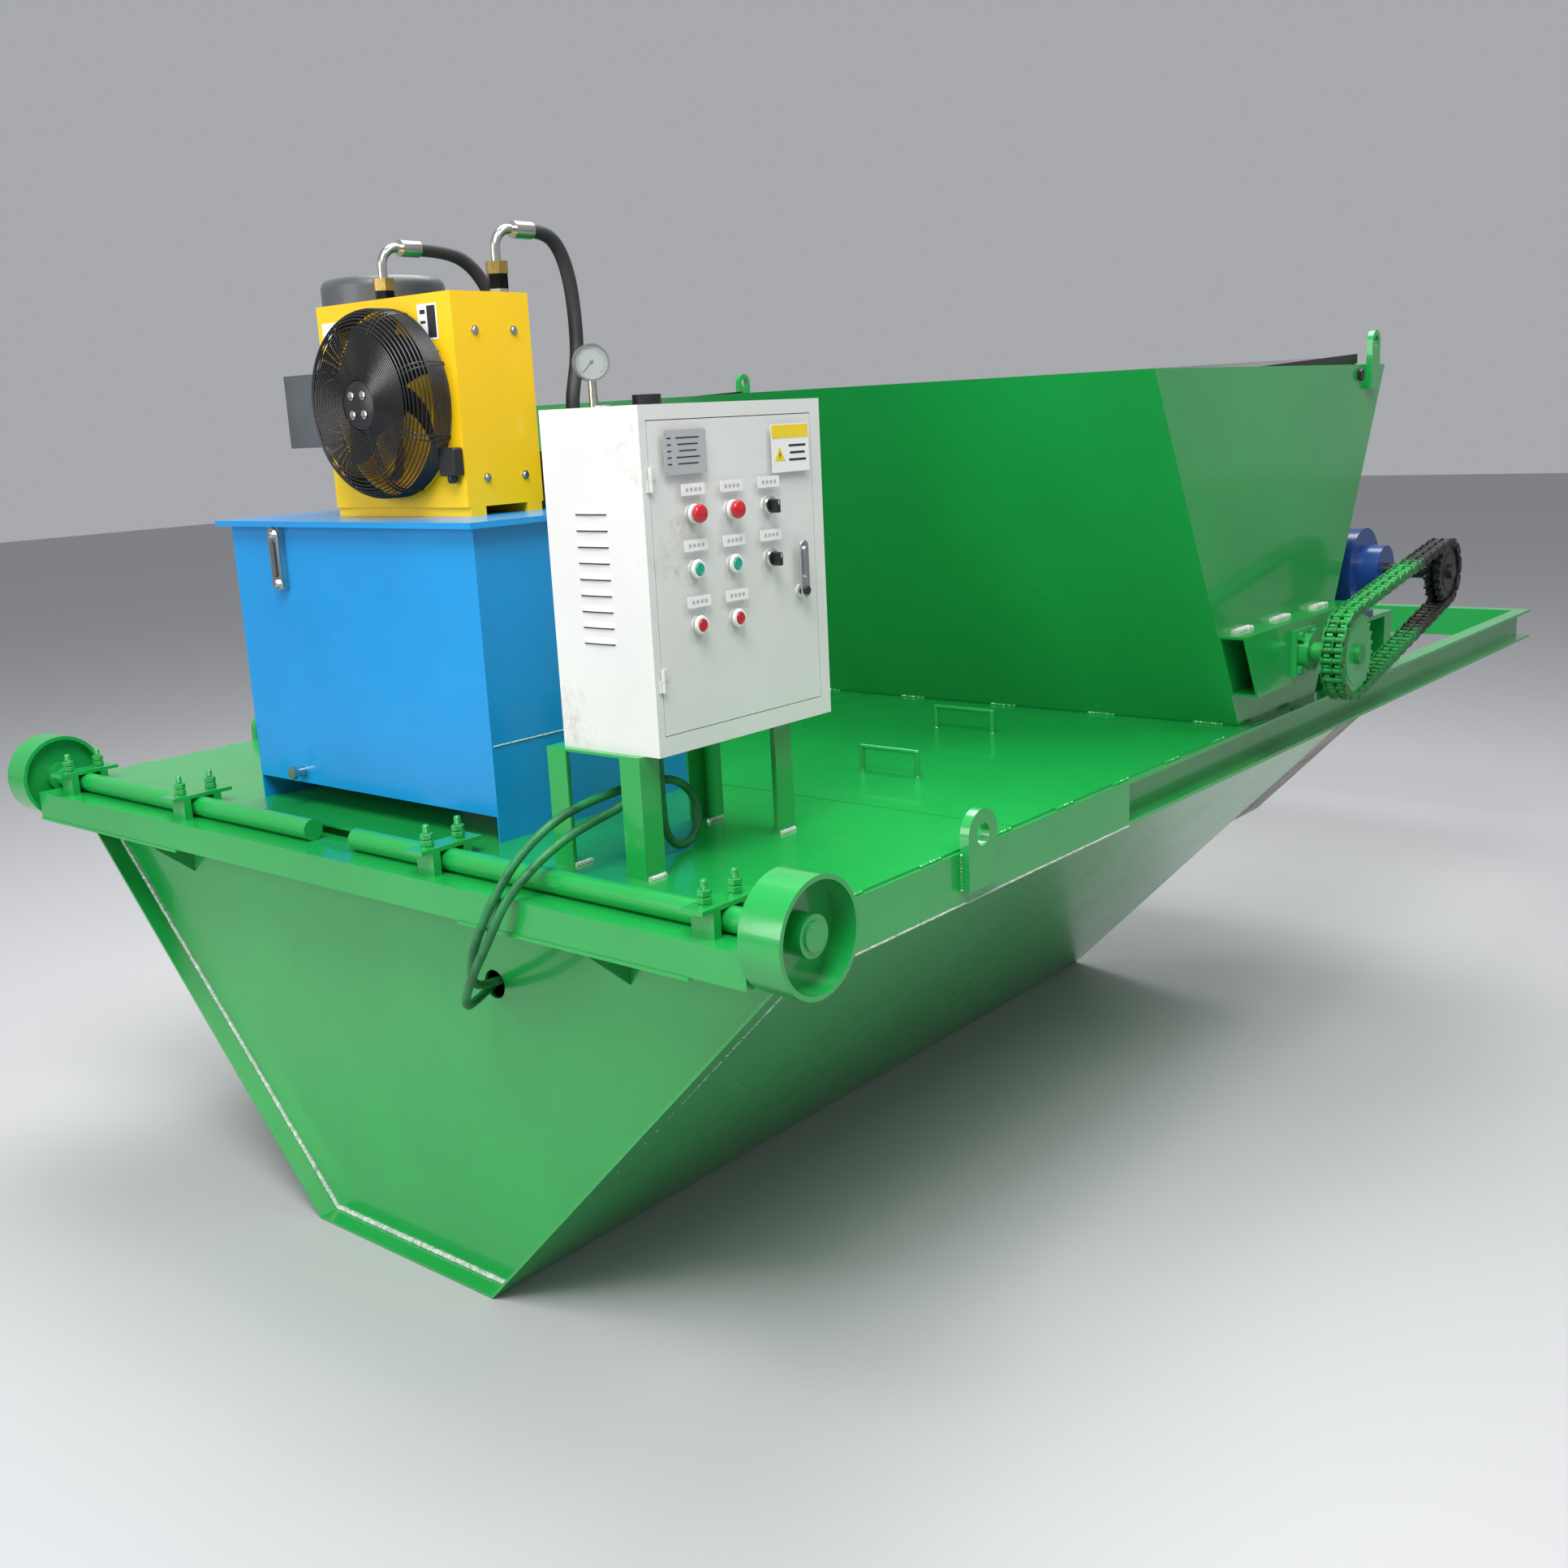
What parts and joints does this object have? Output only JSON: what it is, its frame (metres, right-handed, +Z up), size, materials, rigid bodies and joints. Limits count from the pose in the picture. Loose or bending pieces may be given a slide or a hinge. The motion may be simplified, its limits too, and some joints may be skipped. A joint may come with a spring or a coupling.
{
  "type": "trapezoidal ditch lining machine",
  "caption": "Slip-form ditch lining machine: trapezoidal hull, hydraulic power pack, control cabinet, chain-driven hopper agitator and guide wheels.",
  "frame": {"origin": "centre of the hull's flat bottom, on the ground", "axes": "+X along the machine from the power pack to the open frame end, +Y to the left, +Z up"},
  "size_m": [4.401, 2.6103, 2.1905],
  "materials": {
    "green_paint": "glossy",
    "bare_steel": "mill finish",
    "black_steel": "satin black",
    "chain_steel": "oily",
    "navy_paint": "glossy",
    "blue_paint": "glossy",
    "zinc": "zinc plated",
    "black_plastic": "matte",
    "grey_paint": "satin",
    "cast_iron": "as cast",
    "yellow_paint": "powder coat",
    "black_rubber": "matte",
    "white_paint": "powder coat",
    "chrome": "polished",
    "red_plastic": "glossy",
    "green_plastic": "glossy",
    "grey_plastic": "matte",
    "green_cable": "oversprayed"
  },
  "bodies": {
    "frame": {"axle_clamps": "green_paint", "cabinet_shell": "white_paint", "cabinet_stand": "green_paint", "chain": "chain_steel", "clamp_bolts": "green_paint", "contactor_plate": "grey_plastic", "control_cable": "green_cable", "cooler_box": "yellow_paint", "cooler_hose_left": "black_rubber", "cooler_hose_right": "black_rubber", "cross_beam": "green_paint", "cylinder_barrels": "black_steel", "fan_guard": "black_steel", "flange_bearings": "green_paint", "frame_cross_members": "green_paint", "gear_motor": "navy_paint", "gear_pump": "cast_iron", "hopper_front_plate": "green_paint", "hopper_rear_plate": "green_paint", "hopper_side_plates": "green_paint", "hopper_tubes": "green_paint", "hose_fittings": "zinc", "hull_bulkheads": "green_paint", "hull_shell": "green_paint", "lifting_lugs": "green_paint", "motor_support": "green_paint", "power_cable": "green_cable", "pressure_gauge": "zinc", "pump_motor": "grey_paint", "rear_deck": "green_paint", "side_extension_plates": "bare_steel", "side_rails": "green_paint", "tank_body": "blue_paint", "tank_fittings": "zinc", "tank_lid": "blue_paint", "valve_manifold": "cast_iron"},
    "axle_slide_left": {"axle_bar_left": "green_paint"},
    "axle_slide_right": {"axle_bar_right": "green_paint"},
    "wheel_left": {"wheel_left": "green_paint"},
    "wheel_right": {"wheel_right": "green_paint"},
    "hatch_left": {"hatch_left": "green_paint"},
    "hatch_right": {"hatch_right": "green_paint"},
    "grate": {"grate": "black_steel"},
    "agitator": {"auger": "bare_steel", "auger_sprocket": "green_paint"},
    "drive_sprocket": {"drive_sprocket": "black_steel"},
    "door": {"cabinet_door": "white_paint"},
    "lock_handle": {"door_lock": "chrome"},
    "stop_mushroom_1": {"stop_mushroom_1": "red_plastic"},
    "stop_mushroom_2": {"stop_mushroom_2": "red_plastic"},
    "stop_button_1": {"stop_button_1": "red_plastic"},
    "stop_button_2": {"stop_button_2": "red_plastic"},
    "start_button_1": {"start_button_1": "green_plastic"},
    "start_button_2": {"start_button_2": "green_plastic"},
    "selector_1": {"selector_1": "black_plastic"},
    "selector_2": {"selector_2": "black_plastic"},
    "fan": {"fan_rotor": "black_plastic"},
    "needle": {"gauge_needle": "black_plastic"},
    "filler_cap": {"filler_cap": "black_plastic"},
    "ram": {"ram": "chrome"}
  },
  "joints": [
    {"name": "axle_left_slide", "type": "slide", "parent": "frame", "child": "axle_slide_left", "axis": [0, 1, 0], "range_m": [0, 0.1]},
    {"name": "wheel_left_spin", "type": "hinge", "parent": "axle_slide_left", "child": "wheel_left", "pos_m": [-1.2635, 1.2, 0.97115], "axis": [0, 1, 0], "continuous": true},
    {"name": "hatch_left_lift", "type": "hinge", "parent": "frame", "child": "hatch_left", "pos_m": [0.5705, 0, 0.968], "axis": [0, 1, 0], "range_deg": [0, 48]},
    {"name": "axle_right_slide", "type": "slide", "parent": "frame", "child": "axle_slide_right", "axis": [0, -1, 0], "range_m": [0, 0.1]},
    {"name": "wheel_right_spin", "type": "hinge", "parent": "axle_slide_right", "child": "wheel_right", "pos_m": [-1.2635, -1.2, 0.97115], "axis": [0, 1, 0], "continuous": true},
    {"name": "hatch_right_lift", "type": "hinge", "parent": "frame", "child": "hatch_right", "pos_m": [0.5705, 0, 0.968], "axis": [0, 1, 0], "range_deg": [0, 48]},
    {"name": "grate_hinge", "type": "hinge", "parent": "frame", "child": "grate", "pos_m": [1.3175, 0, 1.806], "axis": [0, 1, 0], "range_deg": [0, 75]},
    {"name": "drive_sprocket_spin", "type": "hinge", "parent": "frame", "child": "drive_sprocket", "pos_m": [1.46799, -1.322, 1.264], "axis": [0, 1, 0], "continuous": true, "deforming": ["chain"]},
    {"name": "agitator_spin", "type": "hinge", "parent": "frame", "child": "agitator", "pos_m": [0.7825, 0, 1.132], "axis": [0, 1, 0], "continuous": true},
    {"name": "door_hinge", "type": "hinge", "parent": "frame", "child": "door", "pos_m": [-1.1385, -0.8263, 1.468], "axis": [0, 0, -1], "range_deg": [0, 110]},
    {"name": "lock_turn", "type": "hinge", "parent": "door", "child": "lock_handle", "pos_m": [-0.7455, -0.826, 1.444], "axis": [0, 1, 0], "range_deg": [0, 90]},
    {"name": "stop_mushroom_1_press", "type": "slide", "parent": "door", "child": "stop_mushroom_1", "axis": [0, 1, 0], "range_m": [0, 0.005]},
    {"name": "stop_mushroom_2_press", "type": "slide", "parent": "door", "child": "stop_mushroom_2", "axis": [0, 1, 0], "range_m": [0, 0.005]},
    {"name": "start_button_1_press", "type": "slide", "parent": "door", "child": "start_button_1", "axis": [0, 1, 0], "range_m": [0, 0.004], "stiffness_N_per_m": 600},
    {"name": "start_button_2_press", "type": "slide", "parent": "door", "child": "start_button_2", "axis": [0, 1, 0], "range_m": [0, 0.004], "stiffness_N_per_m": 600},
    {"name": "stop_button_1_press", "type": "slide", "parent": "door", "child": "stop_button_1", "axis": [0, 1, 0], "range_m": [0, 0.004], "stiffness_N_per_m": 600},
    {"name": "stop_button_2_press", "type": "slide", "parent": "door", "child": "stop_button_2", "axis": [0, 1, 0], "range_m": [0, 0.004], "stiffness_N_per_m": 600},
    {"name": "selector_1_turn", "type": "hinge", "parent": "door", "child": "selector_1", "pos_m": [-0.8335, -0.826, 1.613], "axis": [0, 1, 0], "range_deg": [-45, 45]},
    {"name": "selector_2_turn", "type": "hinge", "parent": "door", "child": "selector_2", "pos_m": [-0.8335, -0.826, 1.516], "axis": [0, 1, 0], "range_deg": [-45, 45]},
    {"name": "fan_spin", "type": "hinge", "parent": "frame", "child": "fan", "pos_m": [-1.0245, 0.03, 1.833], "axis": [1, 0, 0], "continuous": true},
    {"name": "needle_turn", "type": "hinge", "parent": "frame", "child": "needle", "pos_m": [-0.7489, -0.3012, 1.897], "axis": [-0.6, -0.8, 0], "range_deg": [0, 240]},
    {"name": "filler_cap_lift", "type": "slide", "parent": "frame", "child": "filler_cap", "axis": [0, 0, 1], "range_m": [0, 0.06]},
    {"name": "ram_stroke", "type": "slide", "parent": "frame", "child": "ram", "axis": [1, 0, 0], "range_m": [0, 0.45]}
  ],
  "couplings": [
    {"joint": "agitator_spin", "follows": "drive_sprocket_spin", "ratio": 0.76923}
  ]
}
